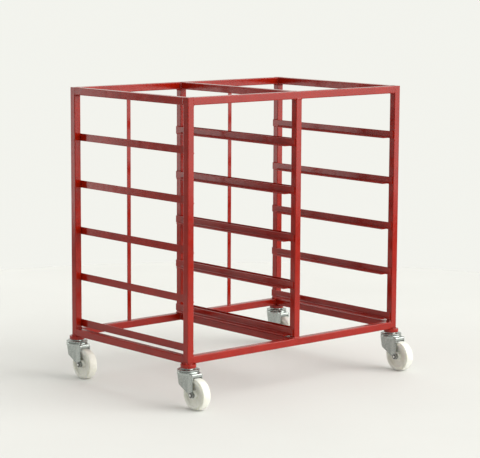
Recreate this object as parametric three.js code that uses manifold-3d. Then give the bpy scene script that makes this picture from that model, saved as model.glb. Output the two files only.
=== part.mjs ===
// Double-bay tray rack trolley on four swivel castors.
// Millimetres, +Z up. The origin is on the floor, under the middle of the whole trolley.
// +X runs to the right along the open front, +Y from the front to the rear.

import * as THREE from 'three';
import { mergeVertices } from 'three/addons/utils/BufferGeometryUtils.js';
import Module from 'manifold-3d';

const wasm = await Module();
wasm.setup();

// ---------------------------------------------------------------- driving dimensions

// Square steel tube that the frame is welded from.
const TUBE = 25;
const TUBE_WALL = 2;
const TUBE_CORNER = 2.5;

// Frame: two bays side by side, open at the front.
const BAY_CLEAR = 442;
const FRAME_WIDTH = 2 * BAY_CLEAR + 3 * TUBE;
const FRAME_DEPTH = 630;
const FRAME_HEIGHT = 860;
const FLOOR_TO_FRAME = 145;

// Angle runners that the trays slide on, five to each side of a bay.
const TIERS = 5;
const TIER_PITCH = 161;
const FIRST_RUNNER = 33;
const ANGLE_LEG = 25;
const ANGLE_THICKNESS = 3;
const ANGLE_FILLET = 3;
const ANGLE_TOE = 1.5;
const RUNNER_FRONT_INSET = 5;
const RUNNER_REAR_INSET = 1;
const LIP_GAP = 4;

// Upright flat bar in the rear of each bay that stops the trays, a little behind the rail's middle.
const STOP_BAR_WIDTH = 15;
const STOP_BAR_THICKNESS = 3;
const STOP_BAR_SET_BACK = 6;

// Castors. Heights are above the floor, offsets are from the swivel axis.
const WHEEL_RADIUS = 52;
const TREAD_WIDTH = 34;
const HUB_RADIUS = 14;
const HUB_WIDTH = 36;
const AXLE_RADIUS = 5;
const AXLE_CLEARANCE = 0.05;
const TRAIL = 44;
const BOSS_RADIUS = 26;
const BOSS_HEIGHT = 12;
const STEM_RADIUS = 8;
const STEM_REACH = 26;
const STEM_CLEARANCE = 0.3;
const HEAD_HUB_RADIUS = 20;
const HEAD_HUB_HEIGHT = 4.5;
const RACE_RADIUS = 37;
const RACE_THICKNESS = 3;
const RACE_EDGE = 1;
const SWIVEL_GAP = 0.8;
const KINGPIN_RADIUS = 9.5;
const KINGPIN_CLEARANCE = 0.5;
const KINGPIN_FLANGE_RADIUS = 16;
const KINGPIN_FLANGE_HEIGHT = 3.7;
const FORK_SHEET = 2.5;
const FORK_INNER_WIDTH = 37;
const CROWN_HEIGHT = 11.7;
const CROWN_CORNER = 2.2;
const EAR_RADIUS = 10.5;

// Side plates and nose of the castor fork, in depth from the swivel axis and height above the floor.
const LEG_REAR = 30.5;
const LEG_REAR_DROP = 5;
const LEG_LAP = 1;
const SHOULDER = { depth: 24, height: 77 };
const FORK_FRONT = -46;
const NOSE_TOP = 119;
const NOSE_REAR = -24;
const NOSE_SKIRT = 107;
const NOSE_CORNER = 4;

// Axle bolt and moulded wheel.
const HEX_ACROSS_FLATS = 17;
const BOLT_HEAD_HEIGHT = 7;
const BOLT_END = 2;
const WEB_HALF_AT_HUB = 8;
const WEB_HALF_AT_RIM = 13;
const RIM_INSIDE = 38;
const RIM_STEP = 1;
const WHEEL_DRAFT = 1.5;
const TREAD_EDGE = 2.5;

// How finely round shapes are divided.
const LATHE_SEGMENTS = 24;
const WHEEL_SEGMENTS = 32;
const BAR_SEGMENTS = 12;
const CORNER_DIVISIONS = 2;

// ---------------------------------------------------------------- places worked out from them

const FRAME_BOTTOM = FLOOR_TO_FRAME;
const FRAME_TOP = FRAME_BOTTOM + FRAME_HEIGHT;
const CASTOR_TOP = FRAME_BOTTOM - BOSS_HEIGHT;
const RACE_TOP = CASTOR_TOP - HEAD_HUB_HEIGHT;
const RACE_BOTTOM = RACE_TOP - RACE_THICKNESS;
const CROWN_TOP = RACE_BOTTOM - SWIVEL_GAP;
const CROWN_BOTTOM = CROWN_TOP - CROWN_HEIGHT;

// The wheels trail towards the front, so the frame sits behind the middle of the whole trolley.
const FRAME_BACK_SHIFT = (TRAIL + WHEEL_RADIUS - RACE_RADIUS) / 2;
const POST_X = (FRAME_WIDTH - TUBE) / 2;
const POST_Y = (FRAME_DEPTH - TUBE) / 2;
const FRONT_Y = FRAME_BACK_SHIFT - POST_Y;
const REAR_Y = FRAME_BACK_SHIFT + POST_Y;

const COLUMNS = [
  { name: 'left', x: -POST_X },
  { name: 'mid', x: 0 },
  { name: 'right', x: POST_X },
];
const ROWS = [
  { name: 'front', y: FRONT_Y },
  { name: 'rear', y: REAR_Y },
];
const LEVELS = [
  { name: 'bottom', z: FRAME_BOTTOM + TUBE / 2 },
  { name: 'top', z: FRAME_TOP - TUBE / 2 },
];
const BAYS = [
  { name: 'left', x: -(TUBE + BAY_CLEAR) / 2 },
  { name: 'right', x: (TUBE + BAY_CLEAR) / 2 },
];

// ---------------------------------------------------------------- materials

const RED_PAINT = { color: 0xb0201c, roughness: 0.35, metalness: 0.0 };
const ZINC = { color: 0xc3c7c2, roughness: 0.35, metalness: 0.9 };
const BRIGHT_STEEL = { color: 0xb9bbb8, roughness: 0.3, metalness: 0.9 };
const NYLON = { color: 0xe2e0d2, roughness: 0.45, metalness: 0.0 };

const trolley = new THREE.Group();

function addMesh(name, geometry, finish, x, y, z) {
  const mesh = new THREE.Mesh(geometry, new THREE.MeshStandardMaterial(finish));
  mesh.name = name;
  mesh.position.set(x, y, z);
  trolley.add(mesh);
}

// ---------------------------------------------------------------- joining and cutting

// A closed mesh as a solid. Triangles that collapse to a line at a lathe's axis are dropped.
function toSolid(geometry) {
  const bare = geometry.clone();
  bare.deleteAttribute('normal');
  bare.deleteAttribute('uv');
  const merged = mergeVertices(bare, 1e-4);
  const index = Array.from(merged.index.array);
  const triVerts = [];
  for (let i = 0; i < index.length; i += 3) {
    const [a, b, c] = index.slice(i, i + 3);
    if (a !== b && b !== c && c !== a) triVerts.push(a, b, c);
  }
  const mesh = new wasm.Mesh({
    numProp: 3,
    vertProperties: Float32Array.from(merged.attributes.position.array),
    triVerts: Uint32Array.from(triVerts),
  });
  return new wasm.Manifold(mesh);
}

function toGeometry(solid) {
  const mesh = solid.getMesh();
  const geometry = new THREE.BufferGeometry();
  geometry.setAttribute('position', new THREE.BufferAttribute(mesh.vertProperties, 3));
  geometry.setIndex(new THREE.BufferAttribute(mesh.triVerts, 1));
  return geometry;
}

function join(geometries) {
  return geometries.map(toSolid).reduce((whole, piece) => whole.add(piece));
}

// ---------------------------------------------------------------- basic shapes

// A square with rounded corners, centred on the origin.
function roundedSquare(side, radius) {
  const straight = side / 2 - radius;
  const shape = new THREE.Shape();
  shape.absarc(straight, straight, radius, 0, Math.PI / 2);
  shape.absarc(-straight, straight, radius, Math.PI / 2, Math.PI);
  shape.absarc(-straight, -straight, radius, Math.PI, 1.5 * Math.PI);
  shape.absarc(straight, -straight, radius, 1.5 * Math.PI, 2 * Math.PI);
  shape.closePath();
  return shape;
}

function square(side) {
  const half = side / 2;
  const shape = new THREE.Shape();
  shape.moveTo(-half, -half);
  shape.lineTo(-half, half);
  shape.lineTo(half, half);
  shape.lineTo(half, -half);
  shape.closePath();
  return shape;
}

// A prism of the given shape, centred on the origin, with its length along Z.
function prism(shape, length) {
  const options = { depth: length, bevelEnabled: false, curveSegments: CORNER_DIVISIONS };
  const geometry = new THREE.ExtrudeGeometry(shape, options);
  return geometry.translate(0, 0, -length / 2);
}

function turnToX(geometry) {
  return geometry.rotateY(Math.PI / 2);
}

function turnToY(geometry) {
  return geometry.rotateX(Math.PI / 2);
}

// A closed ring or disc about Z from [radius, height] points listed anticlockwise.
function turned(profile, segments = LATHE_SEGMENTS) {
  const points = profile.map(([radius, height]) => new THREE.Vector2(radius, height));
  const closed = profile[0][0] > 0;
  if (closed) points.push(points[0].clone());
  return new THREE.LatheGeometry(points, segments).rotateX(Math.PI / 2);
}

// ---------------------------------------------------------------- welded frame

function squareTube(length) {
  const section = roundedSquare(TUBE, TUBE_CORNER);
  section.holes.push(square(TUBE - 2 * TUBE_WALL));
  return prism(section, length);
}

// A corner post is a tube whose top is closed by a plate welded in flush.
function cornerPost() {
  const hollow = prism(square(TUBE - 2 * TUBE_WALL), FRAME_HEIGHT);
  hollow.translate(0, 0, -TUBE_WALL);
  const block = prism(roundedSquare(TUBE, TUBE_CORNER), FRAME_HEIGHT);
  return toGeometry(toSolid(block).subtract(toSolid(hollow)));
}

function addPosts() {
  const middle = FRAME_BOTTOM + FRAME_HEIGHT / 2;
  for (const row of ROWS) {
    for (const column of COLUMNS) {
      const corner = column.name !== 'mid';
      const geometry = corner ? cornerPost() : squareTube(FRAME_HEIGHT - 2 * TUBE);
      addMesh(`post_${row.name}_${column.name}`, geometry, RED_PAINT, column.x, row.y, middle);
    }
  }
}

// Front and rear rails run between the corner posts, and side and middle rails between those.
function addRails() {
  const span = FRAME_WIDTH - 2 * TUBE;
  const reach = FRAME_DEPTH - 2 * TUBE;
  for (const level of LEVELS) {
    for (const row of ROWS) {
      addMesh(`rail_${level.name}_${row.name}`, turnToX(squareTube(span)), RED_PAINT, 0, row.y, level.z);
    }
    for (const column of COLUMNS) {
      const name = `rail_${level.name}_${column.name}`;
      addMesh(name, turnToY(squareTube(reach)), RED_PAINT, column.x, FRAME_BACK_SHIFT, level.z);
    }
  }
}

function addStopBars() {
  const height = FRAME_HEIGHT - 2 * TUBE;
  const y = REAR_Y + STOP_BAR_SET_BACK;
  const middle = FRAME_BOTTOM + FRAME_HEIGHT / 2;
  for (const bay of BAYS) {
    const bar = new THREE.BoxGeometry(STOP_BAR_WIDTH, STOP_BAR_THICKNESS, height);
    addMesh(`stop_bar_${bay.name}`, bar, RED_PAINT, bay.x, y, middle);
  }
}

// ---------------------------------------------------------------- angle runners

// Section of an angle with its heel at the origin, one leg up and one leg towards +X or -X.
function angleSection(towards) {
  const inner = ANGLE_THICKNESS + ANGLE_FILLET;
  const tip = ANGLE_LEG - ANGLE_TOE;
  const neck = ANGLE_THICKNESS - ANGLE_TOE;
  const shape = new THREE.Shape();
  shape.moveTo(0, 0);
  shape.lineTo(towards * ANGLE_LEG, 0);
  shape.lineTo(towards * ANGLE_LEG, neck);
  shape.quadraticCurveTo(towards * ANGLE_LEG, ANGLE_THICKNESS, towards * tip, ANGLE_THICKNESS);
  shape.lineTo(towards * inner, ANGLE_THICKNESS);
  shape.quadraticCurveTo(towards * ANGLE_THICKNESS, ANGLE_THICKNESS, towards * ANGLE_THICKNESS, inner);
  shape.lineTo(towards * ANGLE_THICKNESS, tip);
  shape.quadraticCurveTo(towards * ANGLE_THICKNESS, ANGLE_LEG, towards * neck, ANGLE_LEG);
  shape.lineTo(0, ANGLE_LEG);
  shape.closePath();
  return shape;
}

// The upright leg of a runner lies flat against the inner faces of a front and a rear post.
// The leg that carries the tray is cut away beside the posts, so it lies only between them.
function runner(towards) {
  const front = RUNNER_FRONT_INSET - FRAME_DEPTH / 2;
  const rear = FRAME_DEPTH / 2 - RUNNER_REAR_INSET;
  const angle = turnToY(prism(angleSection(towards), rear - front));
  let cut = toSolid(angle.translate(0, (front + rear) / 2, 0));
  const notch = 2 * (TUBE + LIP_GAP);
  for (const end of [-1, 1]) {
    const box = new THREE.BoxGeometry(2 * ANGLE_LEG, notch, 3 * ANGLE_LEG);
    box.translate(towards * (ANGLE_LEG + ANGLE_THICKNESS), (end * FRAME_DEPTH) / 2, 0);
    cut = cut.subtract(toSolid(box));
  }
  return toGeometry(cut);
}

function addRunners() {
  const sides = [
    { name: 'left', towards: 1 },
    { name: 'right', towards: -1 },
  ];
  for (const bay of BAYS) {
    for (const side of sides) {
      const x = bay.x - (side.towards * BAY_CLEAR) / 2;
      for (let tier = 0; tier < TIERS; tier += 1) {
        const z = FRAME_BOTTOM + FIRST_RUNNER + tier * TIER_PITCH;
        const name = `runner_${bay.name}_bay_${side.name}_${tier + 1}`;
        addMesh(name, runner(side.towards), RED_PAINT, x, FRAME_BACK_SHIFT, z);
      }
    }
  }
}

// ---------------------------------------------------------------- castors

// Round pad welded under a corner post, with a hole for the castor's stem.
function boss() {
  const hole = STEM_RADIUS + STEM_CLEARANCE;
  return turned([
    [hole, CASTOR_TOP],
    [BOSS_RADIUS, CASTOR_TOP],
    [BOSS_RADIUS, FRAME_BOTTOM],
    [hole, FRAME_BOTTOM],
  ]);
}

// Fixed half of the castor: stem, hub, race plate, kingpin and the flange that holds the fork up.
function castorHead() {
  const crownUnderside = CROWN_TOP - FORK_SHEET;
  const flangeTop = crownUnderside - KINGPIN_CLEARANCE;
  const flangeBottom = flangeTop - KINGPIN_FLANGE_HEIGHT;
  return turned([
    [0, flangeBottom],
    [KINGPIN_FLANGE_RADIUS, flangeBottom],
    [KINGPIN_FLANGE_RADIUS, flangeTop],
    [KINGPIN_RADIUS, flangeTop],
    [KINGPIN_RADIUS, RACE_BOTTOM],
    [RACE_RADIUS, RACE_BOTTOM],
    [RACE_RADIUS, RACE_TOP - RACE_EDGE],
    [RACE_RADIUS - RACE_EDGE, RACE_TOP],
    [HEAD_HUB_RADIUS, RACE_TOP],
    [HEAD_HUB_RADIUS, CASTOR_TOP],
    [STEM_RADIUS, CASTOR_TOP],
    [STEM_RADIUS, CASTOR_TOP + STEM_REACH],
    [0, CASTOR_TOP + STEM_REACH],
  ]);
}

// Inverted cup at the top of the fork that covers the lower ball race.
function forkCrown() {
  const hole = KINGPIN_RADIUS + KINGPIN_CLEARANCE;
  const inside = RACE_RADIUS - FORK_SHEET;
  const facet = CROWN_CORNER * (1 - Math.SQRT1_2);
  return turned([
    [hole, CROWN_TOP - FORK_SHEET],
    [inside, CROWN_TOP - FORK_SHEET],
    [inside, CROWN_BOTTOM],
    [RACE_RADIUS, CROWN_BOTTOM],
    [RACE_RADIUS, CROWN_TOP - CROWN_CORNER],
    [RACE_RADIUS - facet, CROWN_TOP - facet],
    [RACE_RADIUS - CROWN_CORNER, CROWN_TOP],
    [hole, CROWN_TOP],
  ]);
}

// Side plate of the fork in the plane of depth and height, ending in the ear round the axle.
function forkLegOutline() {
  const run = SHOULDER.depth + TRAIL;
  const rise = SHOULDER.height - WHEEL_RADIUS;
  const reach = Math.hypot(run, rise);
  const tangent = Math.atan2(rise, run) - Math.acos(EAR_RADIUS / reach);
  const frontAngle = Math.PI - Math.acos((-TRAIL - FORK_FRONT) / EAR_RADIUS);
  const legTop = CROWN_TOP - LEG_LAP;
  const shape = new THREE.Shape();
  shape.moveTo(LEG_REAR, legTop);
  shape.lineTo(NOSE_REAR, legTop);
  shape.lineTo(NOSE_REAR - NOSE_CORNER, NOSE_TOP);
  shape.lineTo(FORK_FRONT + NOSE_CORNER, NOSE_TOP);
  shape.quadraticCurveTo(FORK_FRONT, NOSE_TOP, FORK_FRONT, NOSE_TOP - NOSE_CORNER);
  shape.absarc(-TRAIL, WHEEL_RADIUS, EAR_RADIUS, frontAngle, tangent + 2 * Math.PI);
  shape.lineTo(SHOULDER.depth, SHOULDER.height);
  shape.lineTo(LEG_REAR, CROWN_BOTTOM - LEG_REAR_DROP);
  shape.closePath();
  return shape;
}

// Top and front of the nose that ties the two legs together over the wheel.
function forkNoseOutline() {
  const inner = FORK_FRONT + FORK_SHEET;
  const under = NOSE_TOP - FORK_SHEET;
  const shape = new THREE.Shape();
  shape.moveTo(NOSE_REAR, NOSE_TOP);
  shape.lineTo(FORK_FRONT + NOSE_CORNER, NOSE_TOP);
  shape.quadraticCurveTo(FORK_FRONT, NOSE_TOP, FORK_FRONT, NOSE_TOP - NOSE_CORNER);
  shape.lineTo(FORK_FRONT, NOSE_SKIRT);
  shape.lineTo(inner, NOSE_SKIRT);
  shape.lineTo(inner, under);
  shape.lineTo(NOSE_REAR, under);
  shape.closePath();
  return shape;
}

// A shape drawn in depth and height, as a plate of the given thickness centred on x.
function uprightPlate(shape, thickness, x) {
  const plate = prism(shape, thickness).rotateX(Math.PI / 2).rotateZ(Math.PI / 2);
  return plate.translate(x, 0, 0);
}

function fork() {
  const legCentre = (FORK_INNER_WIDTH + FORK_SHEET) / 2;
  const noseWidth = FORK_INNER_WIDTH + FORK_SHEET;
  const whole = join([
    forkCrown(),
    uprightPlate(forkLegOutline(), FORK_SHEET, -legCentre),
    uprightPlate(forkLegOutline(), FORK_SHEET, legCentre),
    uprightPlate(forkNoseOutline(), noseWidth, 0),
  ]);
  const axleHole = new THREE.CylinderGeometry(AXLE_RADIUS, AXLE_RADIUS, 2 * FORK_INNER_WIDTH, BAR_SEGMENTS);
  axleHole.scale(1 + AXLE_CLEARANCE, 1, 1 + AXLE_CLEARANCE);
  axleHole.rotateZ(Math.PI / 2).translate(0, -TRAIL, WHEEL_RADIUS);
  return toGeometry(whole.subtract(toSolid(axleHole)));
}

// Axle bolt with its nut: shank, a hexagon head on the right and a nut on the left.
function axleBolt() {
  const outside = FORK_INNER_WIDTH / 2 + FORK_SHEET;
  const hexRadius = HEX_ACROSS_FLATS / Math.sqrt(3);
  const shankRight = outside + BOLT_HEAD_HEIGHT / 2;
  const shankLeft = outside + BOLT_HEAD_HEIGHT + BOLT_END;
  const length = shankLeft + shankRight;
  const shank = new THREE.CylinderGeometry(AXLE_RADIUS, AXLE_RADIUS, length, BAR_SEGMENTS);
  shank.rotateZ(Math.PI / 2).translate((shankRight - shankLeft) / 2, 0, 0);
  const pieces = [shank];
  for (const side of [-1, 1]) {
    const hex = new THREE.CylinderGeometry(hexRadius, hexRadius, BOLT_HEAD_HEIGHT, 6);
    hex.rotateZ(Math.PI / 2).translate(side * (outside + BOLT_HEAD_HEIGHT / 2), 0, 0);
    pieces.push(hex);
  }
  return toGeometry(join(pieces));
}

// Moulded wheel about X: hub, web that thickens outwards, rim and a flat tread with eased edges.
function wheel() {
  const bore = AXLE_RADIUS * (1 + AXLE_CLEARANCE);
  const treadHalf = TREAD_WIDTH / 2;
  const half = [
    [bore, HUB_WIDTH / 2],
    [HUB_RADIUS, HUB_WIDTH / 2],
    [HUB_RADIUS + WHEEL_DRAFT, WEB_HALF_AT_HUB],
    [RIM_INSIDE, WEB_HALF_AT_RIM],
    [RIM_INSIDE + WHEEL_DRAFT, treadHalf - RIM_STEP],
    [WHEEL_RADIUS - TREAD_EDGE, treadHalf],
    [WHEEL_RADIUS, treadHalf - TREAD_EDGE],
  ];
  const mirrored = half.map(([radius, height]) => [radius, -height]);
  const flatOnFloor = Math.cos(Math.PI / WHEEL_SEGMENTS);
  const profile = [...mirrored, ...half.reverse()].map(([radius, height]) => [radius / flatOnFloor, height]);
  const round = turned(profile, WHEEL_SEGMENTS).rotateZ(Math.PI / WHEEL_SEGMENTS);
  return round.rotateY(Math.PI / 2);
}

function addCastors() {
  const corners = COLUMNS.filter((column) => column.name !== 'mid');
  for (const row of ROWS) {
    for (const column of corners) {
      const place = `${row.name}_${column.name}`;
      addMesh(`castor_boss_${place}`, boss(), RED_PAINT, column.x, row.y, 0);
      addMesh(`castor_head_${place}`, castorHead(), ZINC, column.x, row.y, 0);
      addMesh(`castor_fork_${place}`, fork(), ZINC, column.x, row.y, 0);
      addMesh(`castor_axle_${place}`, axleBolt(), BRIGHT_STEEL, column.x, row.y - TRAIL, WHEEL_RADIUS);
      addMesh(`castor_wheel_${place}`, wheel(), NYLON, column.x, row.y - TRAIL, WHEEL_RADIUS);
    }
  }
}

addPosts();
addRails();
addStopBars();
addRunners();
addCastors();

export default trolley;
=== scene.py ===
import math
import random

import bmesh
import bpy
from mathutils import Matrix, Vector


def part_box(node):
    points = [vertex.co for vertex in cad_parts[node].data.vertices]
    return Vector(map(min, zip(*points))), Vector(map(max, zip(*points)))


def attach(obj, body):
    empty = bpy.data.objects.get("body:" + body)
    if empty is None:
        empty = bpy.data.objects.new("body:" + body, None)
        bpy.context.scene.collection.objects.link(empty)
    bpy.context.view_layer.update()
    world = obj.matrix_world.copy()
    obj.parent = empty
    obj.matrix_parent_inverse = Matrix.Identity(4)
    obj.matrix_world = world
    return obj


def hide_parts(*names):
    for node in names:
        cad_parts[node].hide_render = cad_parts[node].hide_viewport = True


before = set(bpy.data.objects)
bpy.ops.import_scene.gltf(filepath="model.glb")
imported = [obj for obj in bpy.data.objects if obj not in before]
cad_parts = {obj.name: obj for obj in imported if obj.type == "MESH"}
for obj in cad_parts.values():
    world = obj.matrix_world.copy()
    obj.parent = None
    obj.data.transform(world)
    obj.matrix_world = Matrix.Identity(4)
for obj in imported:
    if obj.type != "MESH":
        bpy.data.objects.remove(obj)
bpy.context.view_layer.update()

# A red welded tray rack trolley on four swivel castors. The castor shapes are drawn in millimetres
# and turned into metres when they are finished. All other shapes are in metres, and their places come
# from the CAD frame.

MM = 0.001
X_AXIS = 0
Y_AXIS = 1
Z_AXIS = 2
PLACES = [f"{row}_{column}" for row in ("front", "rear") for column in ("left", "right")]
TIERS = 5


# Corners and centre of a CAD node's bounding box.


def low(node):
    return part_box(node)[0]


def high(node):
    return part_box(node)[1]


def centre(node):
    return (low(node) + high(node)) / 2


# ------------------------------------------------------------------ material helpers

# Nearly all values of a noise texture lie between these two.
NOISE_LOW = 0.3
NOISE_HIGH = 0.7


def set_stops(ramp, stops):
    """Fills a colour ramp node from (position, (r, g, b)) stops."""
    elements = ramp.color_ramp.elements
    while len(elements) < len(stops):
        elements.new(0.5)  # moved to its own position below
    for element, (position, colour) in zip(elements, stops):
        element.position = position
        element.color = (*colour, 1.0)


class Surface:
    """A node material with its Principled shader and short ways to add procedural detail."""

    def __init__(self, name, **sockets):
        self.material = bpy.data.materials.new(name)
        self.material.use_nodes = True
        self.tree = self.material.node_tree
        self.shader = self.tree.nodes["Principled BSDF"]
        for socket, value in sockets.items():
            self.shader.inputs[socket.replace("_", " ")].default_value = value
        self.place = self.add("ShaderNodeTexCoord").outputs["Object"]

    def add(self, kind):
        return self.tree.nodes.new(kind)

    def link(self, source, target):
        self.tree.links.new(source, target)

    def noise(self, scale, detail=3.0, stretch=(1, 1, 1)):
        mapping = self.add("ShaderNodeMapping")
        mapping.inputs["Scale"].default_value = stretch
        self.link(self.place, mapping.inputs["Vector"])
        texture = self.add("ShaderNodeTexNoise")
        texture.inputs["Scale"].default_value = scale
        texture.inputs["Detail"].default_value = detail
        self.link(mapping.outputs["Vector"], texture.inputs["Vector"])
        return texture.outputs["Fac"]

    def cells(self, scale):
        texture = self.add("ShaderNodeTexVoronoi")
        texture.inputs["Scale"].default_value = scale
        self.link(self.place, texture.inputs["Vector"])
        return texture.outputs["Color"]

    def ramp(self, factor, *stops):
        """Colours at positions, as (position, (r, g, b)) stops."""
        ramp = self.add("ShaderNodeValToRGB")
        set_stops(ramp, stops)
        self.link(factor, ramp.inputs["Fac"])
        return ramp.outputs["Color"]

    def spread(self, factor, lowest, highest):
        """A noise value turned into a number between two limits."""
        span = self.add("ShaderNodeMapRange")
        span.inputs["From Min"].default_value = NOISE_LOW
        span.inputs["From Max"].default_value = NOISE_HIGH
        span.inputs["To Min"].default_value = lowest
        span.inputs["To Max"].default_value = highest
        self.link(factor, span.inputs["Value"])
        return span.outputs["Result"]

    def bump(self, *heights):
        """Bumps laid over each other, as (height source, depth in millimetres, strength)."""
        normal = None
        for source, depth, strength in heights:
            node = self.add("ShaderNodeBump")
            node.inputs["Distance"].default_value = depth * MM
            node.inputs["Strength"].default_value = strength
            self.link(source, node.inputs["Height"])
            if normal is not None:
                self.link(normal, node.inputs["Normal"])
            normal = node.outputs["Normal"]
        self.link(normal, self.shader.inputs["Normal"])

    def colour(self, source):
        self.link(source, self.shader.inputs["Base Color"])

    def roughness(self, source):
        self.link(source, self.shader.inputs["Roughness"])


# ------------------------------------------------------------------ materials

DEEP_RED = (0.25, 0.006, 0.001)
FRESH_RED = (0.31, 0.009, 0.002)
DULL_ZINC = (0.34, 0.37, 0.355)
# Bolt colours: a painted highlight at the bolt's end, painted shade in a dark ring round it, then the
# steel's own grey.
CLEAN_ZINC = (0.46, 0.49, 0.47)
END_HIGHLIGHT_STEEL = (0.75, 0.76, 0.74)
RING_SHADE_STEEL = (0.07, 0.07, 0.07)
DARK_STEEL = (0.12, 0.12, 0.12)
WORN_STEEL = (0.34, 0.35, 0.34)
DUSTY_NYLON = (0.68, 0.68, 0.61)
CLEAN_NYLON = (0.77, 0.77, 0.715)

# How deep light goes into the nylon, and how deep each of its colours goes beside that.
NYLON_DEPTH = 12 * MM
NYLON_COLOUR_DEPTHS = (1.0, 0.98, 0.85)

# The bolt's painted highlight and its ring of painted shade are set as shares of this distance from its
# axis.
NUT_REACH = 10 * MM


def red_paint():
    """Glossy sprayed enamel: a little orange peel, uneven depth of colour and slow waves in the tube."""
    paint = Surface("red_paint", Specular_IOR_Level=0.38)
    patches = paint.noise(14, detail=4)
    paint.colour(paint.ramp(patches, (NOISE_LOW, DEEP_RED), (NOISE_HIGH, FRESH_RED)))
    paint.roughness(paint.spread(paint.noise(55), 0.11, 0.2))
    waves = paint.noise(24, detail=2)
    peel = paint.noise(300, detail=2)
    paint.bump((waves, 0.6, 0.35), (peel, 0.03, 0.3))
    return paint.material


def zinc():
    """Bright zinc on pressed steel: fine spangle, soft smears and a faint greenish cast."""
    plate = Surface("zinc_plate", Metallic=1.0)
    upright_streaks = (1, 1, 0.3)
    smears = plate.noise(60, detail=5, stretch=upright_streaks)
    plate.colour(plate.ramp(smears, (0.35, DULL_ZINC), (0.65, CLEAN_ZINC)))
    plate.roughness(plate.spread(plate.noise(130, detail=4), 0.17, 0.3))
    spangle = plate.cells(420)
    waves = plate.noise(70, stretch=upright_streaks)
    plate.bump((spangle, 0.03, 0.2), (waves, 0.3, 0.3))
    return plate.material


def share_of_nut(steel):
    """Distance from the bolt's axis as a share of the nut's reach."""
    off_axis = steel.add("ShaderNodeVectorMath")
    off_axis.operation = "MULTIPLY"
    off_axis.inputs[1].default_value = (0, 1, 1)
    steel.link(steel.place, off_axis.inputs[0])
    radius = steel.add("ShaderNodeVectorMath")
    radius.operation = "LENGTH"
    steel.link(off_axis.outputs["Vector"], radius.inputs[0])
    share = steel.add("ShaderNodeMapRange")
    share.inputs["From Max"].default_value = NUT_REACH
    steel.link(radius.outputs["Value"], share.inputs["Value"])
    return share.outputs["Result"]


def bolt_steel():
    """Machined steel with painted light: a painted highlight at the bolt's end, and painted shade in a
    dark ring round it on the nut and the head.
    """
    steel = Surface("bolt_steel", Metallic=1.0)
    # Painted highlight in the middle, then a ring of painted shade, then the plain steel of the nut and
    # head.
    rings = [(0.36, END_HIGHLIGHT_STEEL), (0.46, RING_SHADE_STEEL), (0.7, DARK_STEEL), (0.85, WORN_STEEL)]
    steel.colour(steel.ramp(share_of_nut(steel), *rings))
    steel.roughness(steel.spread(steel.noise(300), 0.22, 0.36))
    grain = steel.noise(900)
    steel.bump((grain, 0.05, 0.3))
    return steel.material


def nylon():
    """Off-white moulded nylon: slightly translucent, cloudy, with dust worked into the surface."""
    depths = {"Subsurface_Radius": NYLON_COLOUR_DEPTHS, "Subsurface_Scale": NYLON_DEPTH}
    plastic = Surface("nylon", Subsurface_Weight=0.8, **depths)
    clouds = plastic.noise(45, detail=5)
    plastic.colour(plastic.ramp(clouds, (NOISE_LOW, DUSTY_NYLON), (0.62, CLEAN_NYLON)))
    plastic.roughness(plastic.spread(plastic.noise(160), 0.34, 0.5))
    dust = plastic.noise(420, detail=4)
    plastic.bump((dust, 0.15, 0.35))
    return plastic.material


MATERIALS = {
    "red_paint": red_paint(),
    "zinc_plate": zinc(),
    "bolt_steel": bolt_steel(),
    "nylon": nylon(),
}


# ------------------------------------------------------------------ shape helpers

MERGE_DISTANCE = 1e-7


def rounded(corners, steps=5):
    """A closed outline through (x, y, radius) corners, each corner rounded by an arc."""
    outline = []
    for i, (x, y, radius) in enumerate(corners):
        here = Vector((x, y))
        before = (Vector(corners[i - 1][:2]) - here).normalized()
        after = (Vector(corners[(i + 1) % len(corners)][:2]) - here).normalized()
        if radius == 0:
            outline.append(here)
            continue
        half = before.angle(after) / 2
        middle = here + (before + after).normalized() * (radius / math.sin(half))
        start = here + before * (radius / math.tan(half)) - middle
        end = here + after * (radius / math.tan(half)) - middle
        turn = math.atan2(start.cross(end), start.dot(end))
        for step in range(steps + 1):
            angle = turn * step / steps
            outline.append(middle + Matrix.Rotation(angle, 2) @ start)
    return outline


def turned(outline, segments=96):
    """A solid of revolution about Z from a closed outline of (radius, height)."""
    bm = bmesh.new()
    rings = []
    for radius, height in outline:
        if radius == 0:
            rings.append([bm.verts.new((0, 0, height))])
            continue
        ring = []
        for k in range(segments):
            angle = 2 * math.pi * k / segments
            ring.append(bm.verts.new((radius * math.cos(angle), radius * math.sin(angle), height)))
        rings.append(ring)
    for near, far in zip(rings, rings[1:] + rings[:1]):
        if len(near) == 1 and len(far) == 1:
            continue
        for k in range(segments):
            following = (k + 1) % segments
            corners = [near[k % len(near)], near[following % len(near)]]
            corners += [far[following % len(far)], far[k % len(far)]]
            bm.faces.new(list(dict.fromkeys(corners)))
    bmesh.ops.recalc_face_normals(bm, faces=bm.faces)
    return bm


def prism(outline, thickness):
    """A closed outline in X and Y, drawn out along Z about the origin."""
    bm = bmesh.new()
    bottom = [bm.verts.new((x, y, -thickness / 2)) for x, y in outline]
    top = [bm.verts.new((x, y, thickness / 2)) for x, y in outline]
    bm.faces.new(bottom)
    bm.faces.new(top)
    for k in range(len(outline)):
        following = (k + 1) % len(outline)
        bm.faces.new([bottom[k], bottom[following], top[following], top[k]])
    bmesh.ops.recalc_face_normals(bm, faces=bm.faces)
    return bm


def upright(bm, x):
    """Turns a prism drawn in depth and height to stand in that plane, centred on x."""
    turn = Matrix(((0, 0, 1, x), (1, 0, 0, 0), (0, 1, 0, 0), (0, 0, 0, 1)))
    bm.transform(turn)
    return bm


def along_x(bm):
    """Turns a shape made about Z so that its axis lies along X."""
    bm.transform(Matrix.Rotation(math.pi / 2, 4, "Y"))
    return bm


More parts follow.
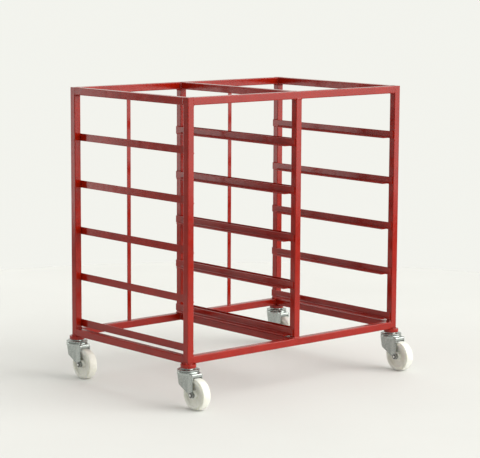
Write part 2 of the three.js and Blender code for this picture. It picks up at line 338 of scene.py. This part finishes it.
def new_object(name, bm):
    """An object in the scene with the finished mesh."""
    mesh = bpy.data.meshes.new(name)
    bm.to_mesh(mesh)
    bm.free()
    piece = bpy.data.objects.new(name, mesh)
    bpy.context.scene.collection.objects.link(piece)
    return piece


def apply_modifiers(piece):
    """Makes the piece's modifiers part of its mesh."""
    bpy.context.view_layer.update()
    evaluated = piece.evaluated_get(bpy.context.evaluated_depsgraph_get())
    mesh = bpy.data.meshes.new_from_object(evaluated)
    piece.modifiers.clear()
    piece.data = mesh


def ease_edges(piece, width, segments=2, angle=40):
    """Rounds the sharp edges of a piece a little, as pressing or moulding leaves them."""
    bevel = piece.modifiers.new("ease", "BEVEL")
    bevel.width = width
    bevel.segments = segments
    bevel.limit_method = "ANGLE"
    bevel.angle_limit = math.radians(angle)
    apply_modifiers(piece)
    return piece


def combine(piece, other, operation):
    """Joins, cuts or intersects a piece with another one, which is used up."""
    boolean = piece.modifiers.new(operation.lower(), "BOOLEAN")
    boolean.operation = operation
    boolean.solver = "EXACT"
    boolean.object = other
    apply_modifiers(piece)
    bpy.data.objects.remove(other)
    return piece


def soften(mesh, angle=35):
    """Smooth shading everywhere but across edges sharper than the angle."""
    bm = bmesh.new()
    bm.from_mesh(mesh)
    bmesh.ops.remove_doubles(bm, verts=bm.verts, dist=MERGE_DISTANCE)
    for face in bm.faces:
        face.smooth = True
    for edge in bm.edges:
        edge.smooth = len(edge.link_faces) == 2 and edge.calc_face_angle() < math.radians(angle)
    bm.to_mesh(mesh)
    bm.free()


def to_metres(mesh):
    mesh.transform(Matrix.Scale(MM, 4))


def dress(piece, slot, body, *replaced):
    """Gives a finished piece its material, its body and the CAD nodes that it stands for."""
    piece.data.materials.clear()
    piece.data.materials.append(MATERIALS[slot])
    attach(piece, body)
    if replaced:
        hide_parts(*replaced)


# ------------------------------------------------------------------ castors

# Millimetres from the swivel axis and above the floor. The main sizes are those of the CAD castor.
BOSS_BOTTOM = 133
BOSS_TOP = 145
BOSS_RADIUS = 26
BOSS_HOLE_RADIUS = 9
STEM_RADIUS = 8
STEM_REACH = 26
HEAD_HUB_RADIUS = 20
RACE_TOP = 128.5
RACE_BOTTOM = 125.5
RACE_RADIUS = 37
CROWN_TOP = 124.7
CROWN_BOTTOM = 113
SHEET = 2.5
FORK_INSIDE = 37
FORK_OUTSIDE = FORK_INSIDE + 2 * SHEET
FORK_FRONT = -46
NOSE_TOP = 119
NOSE_REAR = -24
NOSE_SKIRT = 107
NOSE_CORNER = 4
LEG_REAR = 30.5
LEG_REAR_DROP = 5
LEG_LAP = 1
LEG_EDGE = 0.6
SHOULDER = Vector((24, 77))
TRAIL = 44
EAR_RADIUS = 10.5
EAR_STEPS = 28

# Kingpin and the flange under it that holds the fork up.
KINGPIN_RADIUS = 9.5
KINGPIN_CLEARANCE = 0.5
FLANGE_RADIUS = 16
FLANGE_SLOPE = 2
FLANGE_HEIGHT = 3.8

# Ring pressed up out of the race plate, with its groove on the underside.
RING_INSIDE = 24
RING_OUTSIDE = 34
RING_HEIGHT = 0.8
RING_SLOPE = 2
RING_OUTER_SLOPE = 1.5
GROOVE_OUTSIDE = 32
GROOVE_DEPTH = 0.5

# Axle bolt with its nut. The thread is at the nut's end.
AXLE_RADIUS = 5
AXLE_CLEARANCE = 0.25
BORE_RADIUS = AXLE_RADIUS + AXLE_CLEARANCE
HOLE_REACH = 30
HEX_ACROSS_FLATS = 17
HEX_HEIGHT = 7
HEX_CHAMFER = 1.2
HEX_LEFT_FACE_RADIUS = 8.6
HEX_RIGHT_FACE_RADIUS = 8.3
BOLT_END = 2
BOLT_END_RADIUS = 4.2
SHANK_LAP = 1
THREAD_TURNS = 3
THREAD_PITCH = 1.25
THREAD_LEAD = 0.8
THREAD_SLOPE = 0.6
THREAD_ROOT_RADIUS = 4.5
THREAD_LENGTH = 4.6

# Moulded wheel, as radii from the axle's axis and as distances from its middle plane.
WHEEL_RADIUS = 52
WHEEL_HUB_RADIUS = 13.5
WHEEL_HUB_FOOT = 15
WHEEL_HUB_HALF = 18
WEB_HALF_AT_HUB = 8.2
WEB_HALF_AT_RIM = 12.6
WEB_OUTSIDE = 36.8
RIM_INSIDE = 38.8
RIM_HALF_INSIDE = 15.6
RIM_HALF = 16.6
RIM_GROOVE_INSIDE = 46.8
RIM_GROOVE_FLOOR = 47.3
RIM_GROOVE_FLOOR_END = 49.2
RIM_GROOVE_OUTSIDE = 49.8
GROOVE_HALF_INSIDE = 13.8
GROOVE_HALF_OUTSIDE = 13.6
RIM_HALF_OUTSIDE = 15.7
TREAD_EDGE_RADIUS = 51.4
TREAD_EDGE_HALF = 13.2
TREAD_CROWN_HALF = 6


def boss_mesh():
    """Turned steel pad with a broken edge, welded under the post."""
    profile = rounded([
        (BOSS_HOLE_RADIUS, BOSS_BOTTOM, 0.3),
        (BOSS_RADIUS, BOSS_BOTTOM, 1.2),
        (BOSS_RADIUS, BOSS_TOP, 1.2),
        (BOSS_HOLE_RADIUS, BOSS_TOP, 0.3),
    ])
    return new_object("boss_form", turned(profile))


def head_mesh():
    """Fixed half of the castor: stem, hub, race plate with its pressed ring, kingpin and flange."""
    flange_top = CROWN_TOP - SHEET - KINGPIN_CLEARANCE
    flange_bottom = flange_top - FLANGE_HEIGHT
    stem_top = BOSS_BOTTOM + STEM_REACH
    groove = RACE_BOTTOM + GROOVE_DEPTH
    ring = RACE_TOP + RING_HEIGHT
    profile = rounded([
        (0, flange_bottom, 0),
        (FLANGE_RADIUS - FLANGE_SLOPE, flange_bottom, 2.5),
        (FLANGE_RADIUS, flange_top, 0.5),
        (KINGPIN_RADIUS, flange_top, 0.5),
        (KINGPIN_RADIUS, RACE_BOTTOM, 0.3),
        (RING_INSIDE, RACE_BOTTOM, 0.4),
        (RING_INSIDE + RING_SLOPE, groove, 0.4),
        (GROOVE_OUTSIDE - RING_SLOPE, groove, 0.4),
        (GROOVE_OUTSIDE, RACE_BOTTOM, 0.4),
        (RACE_RADIUS, RACE_BOTTOM, 0.5),
        (RACE_RADIUS, RACE_TOP, 1.2),
        (RING_OUTSIDE, RACE_TOP, 0.4),
        (RING_OUTSIDE - RING_OUTER_SLOPE, ring, 0.6),
        (RING_INSIDE + RING_SLOPE, ring, 0.6),
        (RING_INSIDE, RACE_TOP, 0.6),
        (HEAD_HUB_RADIUS, RACE_TOP, 0.8),
        (HEAD_HUB_RADIUS, BOSS_BOTTOM, 0.3),
        (STEM_RADIUS, BOSS_BOTTOM, 0.2),
        (STEM_RADIUS, stem_top, 1),
        (0, stem_top, 0),
    ])
    return new_object("head_form", turned(profile))


def crown_form():
    """Inverted pressed cup that holds the lower ball race."""
    inside = RACE_RADIUS - SHEET
    hole = KINGPIN_RADIUS + KINGPIN_CLEARANCE
    profile = rounded([
        (hole, CROWN_TOP - SHEET, 0.3),
        (inside, CROWN_TOP - SHEET, 3.0),
        (inside, CROWN_BOTTOM, 0.5),
        (RACE_RADIUS, CROWN_BOTTOM, 0.7),
        (RACE_RADIUS, CROWN_TOP, 5.0),
        (hole, CROWN_TOP, 0.4),
    ])
    return new_object("crown_form", turned(profile))


def ear_arc():
    """The rounded tip of a leg, from the leg's front edge round the axle to its slanted rear edge."""
    ear = Vector((-TRAIL, WHEEL_RADIUS))
    reach = SHOULDER - ear
    lower = math.atan2(reach.y, reach.x) - math.acos(EAR_RADIUS / reach.length) + 2 * math.pi
    upper = math.pi - math.acos((ear.x - FORK_FRONT) / EAR_RADIUS)
    corners = []
    for step in range(EAR_STEPS + 1):
        angle = upper + (lower - upper) * step / EAR_STEPS
        point = ear + EAR_RADIUS * Vector((math.cos(angle), math.sin(angle)))
        corners.append((point.x, point.y, 0))
    return corners


def leg_outline():
    """Side plate of the fork in depth and height, with the ear round the axle at its tip."""
    top = CROWN_TOP - LEG_LAP
    return rounded([
        (LEG_REAR, top, 0.5),
        (NOSE_REAR, top, 1.5),
        (NOSE_REAR - NOSE_CORNER, NOSE_TOP, 2),
        (FORK_FRONT, NOSE_TOP, NOSE_CORNER),
        *ear_arc(),
        (SHOULDER.x, SHOULDER.y, 8),
        (LEG_REAR, CROWN_BOTTOM - LEG_REAR_DROP, 6),
    ])


def nose_outline():
    """Top and front of the nose that ties the legs together over the wheel."""
    inner = FORK_FRONT + SHEET
    under = NOSE_TOP - SHEET
    return rounded([
        (NOSE_REAR, NOSE_TOP, 0.5),
        (FORK_FRONT, NOSE_TOP, NOSE_CORNER),
        (FORK_FRONT, NOSE_SKIRT, 0.6),
        (inner, NOSE_SKIRT, 0.6),
        (inner, under, 1.5),
        (NOSE_REAR, under, 0.5),
    ])


def axle_hole():
    """Cutter for the axle's holes in both legs."""
    profile = rounded([
        (0, -HOLE_REACH, 0),
        (BORE_RADIUS, -HOLE_REACH, 0),
        (BORE_RADIUS, HOLE_REACH, 0),
        (0, HOLE_REACH, 0),
    ])
    hole = along_x(turned(profile, segments=48))
    hole.transform(Matrix.Translation((0, -TRAIL, WHEEL_RADIUS)))
    return new_object("hole_form", hole)


def fork_mesh():
    """Swivelling half of the castor, one pressed and welded piece."""
    whole = crown_form()
    width = FORK_INSIDE + SHEET
    for side in (-1, 1):
        leg = new_object("leg_form", upright(prism(leg_outline(), SHEET), side * width / 2))
        whole = combine(whole, ease_edges(leg, LEG_EDGE), "UNION")
    nose = new_object("nose_form", upright(prism(nose_outline(), width), 0))
    whole = combine(whole, nose, "UNION")
    return combine(whole, axle_hole(), "DIFFERENCE")


def chamfering_cap(radius):
    """Turned form that takes the corners off both faces of a hexagon with this corner radius."""
    half = HEX_HEIGHT / 2
    profile = rounded([
        (0, -half, 0),
        (HEX_LEFT_FACE_RADIUS, -half, 0.2),
        (radius, HEX_CHAMFER - half, 0),
        (radius, half - HEX_CHAMFER, 0),
        (HEX_RIGHT_FACE_RADIUS, half, 0.2),
        (0, half, 0),
    ])
    return new_object("cap_form", along_x(turned(profile, segments=72)))


def hexagon(side):
    """Hexagon head or nut outside one leg of the fork, its corners chamfered off."""
    radius = HEX_ACROSS_FLATS / math.sqrt(3)
    corners = []
    for k in range(6):
        angle = k * math.pi / 3
        corners.append((radius * math.cos(angle), radius * math.sin(angle)))
    block = new_object("hex_form", along_x(prism(corners, HEX_HEIGHT)))
    block = combine(block, chamfering_cap(radius), "INTERSECT")
    offset = (FORK_OUTSIDE + HEX_HEIGHT) / 2
    block.data.transform(Matrix.Translation((side * offset, 0, 0)))
    return block


def shank():
    """Axle bolt's shank, threaded at its left end, where it passes through the nut."""
    outside = FORK_OUTSIDE / 2
    tip = -(outside + HEX_HEIGHT + BOLT_END)
    corners = [(0, tip, 0), (BOLT_END_RADIUS, tip, 0)]
    for turn in range(THREAD_TURNS):
        crest = tip + THREAD_LEAD + turn * THREAD_PITCH
        corners += [(AXLE_RADIUS, crest, 0), (THREAD_ROOT_RADIUS, crest + THREAD_SLOPE, 0)]
    corners += [
        (AXLE_RADIUS, tip + THREAD_LENGTH, 0),
        (AXLE_RADIUS, outside + SHANK_LAP, 0),
        (0, outside + SHANK_LAP, 0),
    ]
    return new_object("shank_form", along_x(turned(rounded(corners), segments=64)))


def axle_mesh():
    """The bolt with its head on the right and its nut on the left."""
    whole = shank()
    for side in (-1, 1):
        whole = combine(whole, hexagon(side), "UNION")
    return whole


def wheel_mesh():
    """Moulded wheel: hub, dished web, stepped rim with a groove, and a slightly crowned tread."""
    half = [
        (BORE_RADIUS, WHEEL_HUB_HALF, 0.4),
        (WHEEL_HUB_RADIUS, WHEEL_HUB_HALF, 1.2),
        (WHEEL_HUB_FOOT, WEB_HALF_AT_HUB, 2.5),
        (WEB_OUTSIDE, WEB_HALF_AT_RIM, 2.5),
        (RIM_INSIDE, RIM_HALF_INSIDE, 1.2),
        (RIM_GROOVE_INSIDE, RIM_HALF, 0.4),
        (RIM_GROOVE_FLOOR, GROOVE_HALF_INSIDE, 0.2),
        (RIM_GROOVE_FLOOR_END, GROOVE_HALF_OUTSIDE, 0.2),
        (RIM_GROOVE_OUTSIDE, RIM_HALF_OUTSIDE, 0.3),
        (TREAD_EDGE_RADIUS, TREAD_EDGE_HALF, 1.6),
        (WHEEL_RADIUS, TREAD_CROWN_HALF, 6),
    ]
    mirrored = [(radius, -width, rounding) for radius, width, rounding in half]
    profile = rounded(mirrored + half[::-1], steps=4)
    return new_object("wheel_form", along_x(turned(profile, segments=120)))


def add_castors():
    """One mesh for each kind of piece, used at all four corners."""
    forms = {
        "boss": (boss_mesh(), "red_paint"),
        "head": (head_mesh(), "zinc_plate"),
        "fork": (fork_mesh(), "zinc_plate"),
        "axle": (axle_mesh(), "bolt_steel"),
        "wheel": (wheel_mesh(), "nylon"),
    }
    for form, _ in forms.values():
        to_metres(form.data)
        soften(form.data)
    for place in PLACES:
        swivel = centre(f"castor_head_{place}")
        swivel.z = 0
        hub = centre(f"castor_wheel_{place}")
        bodies = {"boss": "frame", "head": "frame", "wheel": f"wheel_{place}"}
        for kind, (form, slot) in forms.items():
            piece = bpy.data.objects.new(f"{kind}_{place}", form.data.copy())
            piece.location = hub if kind in ("axle", "wheel") else swivel
            bpy.context.scene.collection.objects.link(piece)
            dress(piece, slot, bodies.get(kind, f"fork_{place}"), f"castor_{kind}_{place}")
    for form, _ in forms.values():
        bpy.data.objects.remove(form)


# ------------------------------------------------------------------ weld beads

# Length of one ripple, and its height and unevenness as shares of the bead's size.
RIPPLE = 2.6 * MM
RIPPLE_HEIGHT = 0.12
UNEVENNESS = 0.05

# How finely a bead is divided along its run and round its section.
STATIONS_PER_RIPPLE = 3
FEWEST_STATIONS = 6
BEAD_POINTS = 7

# Share of its full size that a bead has at its ends, and how fast it grows along its run.
BEAD_END_SIZE = 0.35
BEAD_END_RISE = 6

# How far a bead sinks into the joint and stays clear of corners, and the sizes of each kind.
ROOT_DEPTH = 0.4 * MM
CORNER_MARGIN = 2.2 * MM
FILLET_LEG = 4.8 * MM
FLUSH_HALF_WIDTH = 3.4 * MM
FLUSH_HEIGHT = 0.55 * MM
SMALL_FILLET_LEG = 2.4 * MM
BAR_BEAD_MARGIN = 1.0 * MM

# Edges flatter than this angle, in degrees, are shaded smooth.
BEAD_SMOOTH_ANGLE = 60

BEAD_SEED = 7

dice = random.Random(BEAD_SEED)


def bead_size(share, length, phase):
    """Size of a bead at a share of its length: rippled, a little uneven, and tapered at both ends."""
    wave = RIPPLE_HEIGHT * math.sin(2 * math.pi * share * length / RIPPLE + phase)
    ripple = 1 + wave + dice.uniform(-UNEVENNESS, UNEVENNESS)
    return ripple * min(1, BEAD_END_SIZE + BEAD_END_RISE * min(share, 1 - share))


def bead_ring(bm, at, across, up, width, height, arc):
    """One section of a bead: part of an ellipse, from across to up and beyond, and a point under it."""
    ring = []
    for k in range(BEAD_POINTS):
        angle = arc * k / (BEAD_POINTS - 1)
        offset = across * (width * math.cos(angle)) + up * (height * math.sin(angle))
        ring.append(bm.verts.new(at + offset))
    ring.append(bm.verts.new(at - (across + up) * ROOT_DEPTH))
    return ring


def add_bead(bm, start, end, across, up, width, height, arc):
    """A weld bead from start to end."""
    length = (end - start).length
    stations = max(FEWEST_STATIONS, round(length / RIPPLE * STATIONS_PER_RIPPLE))
    phase = dice.uniform(0, 2 * math.pi)
    rings = []
    for station in range(stations + 1):
        share = station / stations
        size = bead_size(share, length, phase)
        rings.append(bead_ring(bm, start.lerp(end, share), across, up, width * size, height * size, arc))
    for near, far in zip(rings, rings[1:]):
        for k in range(len(near)):
            following = (k + 1) % len(near)
            bm.faces.new([near[k], near[following], far[following], far[k]])
    bm.faces.new(rings[0])
    bm.faces.new(rings[-1][::-1])


def add_fillet(bm, start, end, across, up, leg):
    """A bead in the corner between two faces that meet at a right angle."""
    add_bead(bm, start, end, across, up, leg, leg, math.pi / 2)


def add_seam(bm, start, end, across, up):
    """A flattened bead over a joint between two faces that lie flush."""
    add_bead(bm, start, end, across, up, FLUSH_HALF_WIDTH, FLUSH_HEIGHT, math.pi)


def unit(axis, sign):
    """One metre along an axis, or against it."""
    direction = Vector((0, 0, 0))
    direction[axis] = sign
    return direction


def tube_end_beads(bm, node, axis, corner_sides):
    """Beads round both ends of a tube: fillets on its corner sides and seams on its flush sides."""
    bottom, top = low(node), high(node)
    across_axes = [other for other in (X_AXIS, Y_AXIS, Z_AXIS) if other != axis]
    for end, inward in ((bottom[axis], 1.0), (top[axis], -1.0)):
        for side_axis, run_axis in (across_axes, across_axes[::-1]):
            for face, outward in ((bottom[side_axis], -1.0), (top[side_axis], 1.0)):
                start = Vector((0, 0, 0))
                start[axis] = end
                start[side_axis] = face
                start[run_axis] = bottom[run_axis] + CORNER_MARGIN
                finish = start.copy()
                finish[run_axis] = top[run_axis] - CORNER_MARGIN
                directions = unit(axis, inward), unit(side_axis, outward)
                if (side_axis, outward) in corner_sides:
                    add_fillet(bm, start, finish, *directions, FILLET_LEG)
                else:
                    add_seam(bm, start, finish, *directions)


def finish_beads(name, bm):
    """Turns a mesh of beads into a painted piece of the frame."""
    bmesh.ops.recalc_face_normals(bm, faces=bm.faces)
    piece = new_object(name, bm)
    soften(piece.data, BEAD_SMOOTH_ANGLE)
    dress(piece, "red_paint", "frame")


def add_frame_welds():
    """Welds of the rails, one piece for each level, and of the middle posts, one piece for each."""
    both_x_sides = {(X_AXIS, -1.0), (X_AXIS, 1.0)}
    for level, inner in (("top", -1.0), ("bottom", 1.0)):
        bm = bmesh.new()
        for row in ("front", "rear"):
            tube_end_beads(bm, f"rail_{level}_{row}", X_AXIS, {(Z_AXIS, inner)})
        for side in ("left", "right"):
            tube_end_beads(bm, f"rail_{level}_{side}", Y_AXIS, {(Z_AXIS, inner)})
        tube_end_beads(bm, f"rail_{level}_mid", Y_AXIS, both_x_sides)
        finish_beads(f"weld_{level}_rails", bm)
    for row in ("front", "rear"):
        bm = bmesh.new()
        tube_end_beads(bm, f"post_{row}_mid", Z_AXIS, both_x_sides)
        finish_beads(f"weld_post_{row}_mid", bm)


def lap_beads(bm, node, post, into_bay):
    """Short fillets over and under a runner where it lies against a post."""
    bottom, top = low(node), high(node)
    x = bottom.x if into_bay > 0 else top.x
    first = max(low(post).y, bottom.y) + CORNER_MARGIN
    last = min(high(post).y, top.y) - CORNER_MARGIN
    for z, up in ((top.z, 1.0), (bottom.z, -1.0)):
        start, end = Vector((x, first, z)), Vector((x, last, z))
        add_fillet(bm, start, end, unit(X_AXIS, into_bay), unit(Z_AXIS, up), SMALL_FILLET_LEG)


def add_runner_welds():
    """Welds of the runners, one piece for each side of each bay."""
    for bay, left_column, right_column in (("left", "left", "mid"), ("right", "mid", "right")):
        for hand, column, into_bay in (("left", left_column, 1.0), ("right", right_column, -1.0)):
            bm = bmesh.new()
            for tier in range(1, TIERS + 1):
                for row in ("front", "rear"):
                    lap_beads(bm, f"runner_{bay}_bay_{hand}_{tier}", f"post_{row}_{column}", into_bay)
            finish_beads(f"weld_runners_{bay}_bay_{hand}", bm)


def add_boss_welds():
    """Fillets where the two outer faces of each corner post stand on its boss."""
    bm = bmesh.new()
    for place in PLACES:
        bottom, top = low(f"post_{place}"), high(f"post_{place}")
        outer_x, side_x = (bottom.x, -1.0) if "left" in place else (top.x, 1.0)
        outer_y, side_y = (bottom.y, -1.0) if "front" in place else (top.y, 1.0)
        first, last = bottom.y + CORNER_MARGIN, top.y - CORNER_MARGIN
        start, end = Vector((outer_x, first, bottom.z)), Vector((outer_x, last, bottom.z))
        add_fillet(bm, start, end, unit(X_AXIS, side_x), unit(Z_AXIS, 1.0), FILLET_LEG)
        first, last = bottom.x + CORNER_MARGIN, top.x - CORNER_MARGIN
        start, end = Vector((first, outer_y, bottom.z)), Vector((last, outer_y, bottom.z))
        add_fillet(bm, start, end, unit(Y_AXIS, side_y), unit(Z_AXIS, 1.0), FILLET_LEG)
    finish_beads("weld_bosses", bm)


def add_stop_bar_welds():
    """Fillets in front of and behind each end of the flat stop bars."""
    bm = bmesh.new()
    for side in ("left", "right"):
        bottom, top = low(f"stop_bar_{side}"), high(f"stop_bar_{side}")
        first, last = bottom.x + BAR_BEAD_MARGIN, top.x - BAR_BEAD_MARGIN
        for y, outward in ((bottom.y, -1.0), (top.y, 1.0)):
            for z, inward in ((bottom.z, 1.0), (top.z, -1.0)):
                start, end = Vector((first, y, z)), Vector((last, y, z))
                add_fillet(bm, start, end, unit(Y_AXIS, outward), unit(Z_AXIS, inward), SMALL_FILLET_LEG)
    finish_beads("weld_stop_bars", bm)


# ------------------------------------------------------------------ carried-over CAD nodes


def paint_frame():
    """Posts, rails, runners and stop bars keep their CAD shape and take the procedural paint."""
    for name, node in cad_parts.items():
        if name.startswith(("post_", "rail_", "runner_", "stop_bar_")):
            node.data.materials.clear()
            node.data.materials.append(MATERIALS["red_paint"])


# ------------------------------------------------------------------ floor, light and camera

FLOOR_RADIUS = 2.46
FLOOR_SEGMENTS = 180
FLOOR_WHITE = (0.73, 0.732, 0.718)
FLOOR_SHADE = 0.97
GLOW_COLOUR = (1.0, 0.99, 0.96)

# Brightness of the studio at sines of the angle above the horizon, and its tint.
SKY_BANDS = [(-1.0, 0.7), (-0.2, 0.9), (0.0, 0.9), (0.08, 0.8), (0.3, 0.8), (0.55, 0.9), (1.0, 0.9)]
SKY_TINT = (0.995, 1.0, 0.945)

# The soft lamp's direction, its angles of full and no light, and its brightness.
LAMP = ((0.37, -0.79, 0.5), 18, 40, 3.3)

# Darker sides of the studio, as direction, angles of full and no dimming, and the share of light lost.
DARK_SIDES = [
    ((-0.87, 0.2, -0.1), 40, 85, 0.45),
    ((-0.66, -0.75, 0.15), 18, 42, 0.45),
    ((0.66, -0.75, -0.3), 12, 40, 0.6),
]

# Upright white panels that the gloss reflects, as name, middle, width, height and brightness.
PANELS = [
    ("panel_rear_left", (-1.9, 3.4, 0.85), 1.7, 1.6, 1.9),
    ("panel_front_right", (2.97, -3.7, 1.1), 3.0, 2.1, 1.9),
]

# Camera: where it stands, how it is turned, in degrees, and its focal length in widths of its sensor.
CAMERA_PLACE = Vector((-4.282, -4.884, 1.441))
CAMERA_AZIMUTH = 41.18
CAMERA_TILT = -8.14
CAMERA_ROLL = 0.30
CAMERA_FOCAL_SHARE = 3.939
SENSOR_WIDTH = 36.0


def floor_material():
    """Matt white sheet, very faintly uneven."""
    sheet = Surface("floor_sheet", Roughness=0.8)
    shaded = [FLOOR_SHADE * share for share in FLOOR_WHITE]
    clouds = sheet.noise(1.5, detail=2)
    sheet.colour(sheet.ramp(clouds, (NOISE_LOW, FLOOR_WHITE), (NOISE_HIGH, shaded)))
    return sheet.material


def add_floor():
    """A round sheet on the ground. Beyond its edge the surround is at much the same brightness."""
    bpy.ops.mesh.primitive_circle_add(vertices=FLOOR_SEGMENTS, radius=FLOOR_RADIUS, fill_type="TRIFAN")
    floor = bpy.context.object
    floor.name = "floor"
    floor.data.materials.append(floor_material())


def soft_patch(tree, sky, direction, inner, outer, edge_value, middle_value):
    """A number over the sky that changes softly from its value outside a round patch to that inside."""
    dot = tree.nodes.new("ShaderNodeVectorMath")
    dot.operation = "DOT_PRODUCT"
    dot.inputs[1].default_value = Vector(direction).normalized()
    tree.links.new(sky, dot.inputs[0])
    fade = tree.nodes.new("ShaderNodeMapRange")
    fade.interpolation_type = "SMOOTHSTEP"
    fade.inputs["From Min"].default_value = math.cos(math.radians(outer))
    fade.inputs["From Max"].default_value = math.cos(math.radians(inner))
    fade.inputs["To Min"].default_value = edge_value
    fade.inputs["To Max"].default_value = middle_value
    tree.links.new(dot.outputs["Value"], fade.inputs["Value"])
    return fade.outputs["Result"]


def sky_bands(tree, sky):
    """Colour of the white studio by height."""
    split = tree.nodes.new("ShaderNodeSeparateXYZ")
    tree.links.new(sky, split.inputs["Vector"])
    height = tree.nodes.new("ShaderNodeMapRange")
    height.inputs["From Min"].default_value = -1
    tree.links.new(split.outputs["Z"], height.inputs["Value"])
    stops = []
    for sine, brightness in SKY_BANDS:
        stops.append(((sine + 1) / 2, [brightness * share for share in SKY_TINT]))
    bands = tree.nodes.new("ShaderNodeValToRGB")
    set_stops(bands, stops)
    tree.links.new(height.outputs["Result"], bands.inputs["Fac"])
    return bands.outputs["Color"]


def sky_dimming(tree, sky):
    """The share of the light that is left when each darker side has taken its part away."""
    left = None
    for direction, inner, outer, lost in DARK_SIDES:
        product = tree.nodes.new("ShaderNodeMath")
        product.operation = "MULTIPLY"
        product.inputs[1].default_value = 1.0
        kept = soft_patch(tree, sky, direction, inner, outer, 1.0, 1.0 - lost)
        tree.links.new(kept, product.inputs[0])
        if left is not None:
            tree.links.new(left, product.inputs[1])
        left = product.outputs["Value"]
    return left


def add_world():
    """White studio with one soft lamp, dimmer on the left, behind the camera and low on the right."""
    world = bpy.data.worlds.new("studio")
    bpy.context.scene.world = world
    world.use_nodes = True
    tree = world.node_tree
    sky = tree.nodes.new("ShaderNodeTexCoord").outputs["Generated"]
    background = tree.nodes["Background"]
    tree.links.new(sky_bands(tree, sky), background.inputs["Color"])
    tree.links.new(sky_dimming(tree, sky), background.inputs["Strength"])
    direction, inner, outer, brightness = LAMP
    lamp = soft_patch(tree, sky, direction, inner, outer, 0.0, brightness)
    glow = tree.nodes.new("ShaderNodeBackground")
    glow.inputs["Color"].default_value = (*GLOW_COLOUR, 1.0)
    tree.links.new(lamp, glow.inputs["Strength"])
    both = tree.nodes.new("ShaderNodeAddShader")
    tree.links.new(background.outputs["Background"], both.inputs[0])
    tree.links.new(glow.outputs["Background"], both.inputs[1])
    tree.links.new(both.outputs["Shader"], tree.nodes["World Output"].inputs["Surface"])


def add_panel(name, middle, width, height, brightness):
    """A glowing panel that faces the axis of the trolley and isn't seen by the camera itself."""
    lamp = bpy.data.lights.new(name, "AREA")
    lamp.shape = "RECTANGLE"
    lamp.size = width
    lamp.size_y = height
    lamp.energy = brightness * math.pi * width * height
    lamp.color = GLOW_COLOUR
    panel = bpy.data.objects.new(name, lamp)
    bpy.context.scene.collection.objects.link(panel)
    panel.location = middle
    inward = Vector((-middle[0], -middle[1], 0))
    panel.rotation_euler = inward.to_track_quat("-Z", "Y").to_euler()
    panel.visible_camera = False


def add_camera():
    """Eye-level view from the front left corner, along the diagonal of the trolley."""
    lens = bpy.data.cameras.new("camera")
    lens.sensor_fit = "HORIZONTAL"
    lens.sensor_width = SENSOR_WIDTH
    lens.lens = CAMERA_FOCAL_SHARE * SENSOR_WIDTH
    camera = bpy.data.objects.new("camera", lens)
    bpy.context.scene.collection.objects.link(camera)
    heading = Matrix.Rotation(-math.radians(CAMERA_AZIMUTH), 4, "Z")
    tilt = Matrix.Rotation(math.pi / 2 + math.radians(CAMERA_TILT), 4, "X")
    roll = Matrix.Rotation(math.radians(CAMERA_ROLL), 4, "Z")
    camera.matrix_world = Matrix.Translation(CAMERA_PLACE) @ heading @ tilt @ roll
    bpy.context.scene.camera = camera


add_castors()
add_frame_welds()
add_runner_welds()
add_boss_welds()
add_stop_bar_welds()
paint_frame()
add_floor()
add_world()
for panel in PANELS:
    add_panel(*panel)
add_camera()
bpy.context.scene.view_settings.view_transform = "Standard"
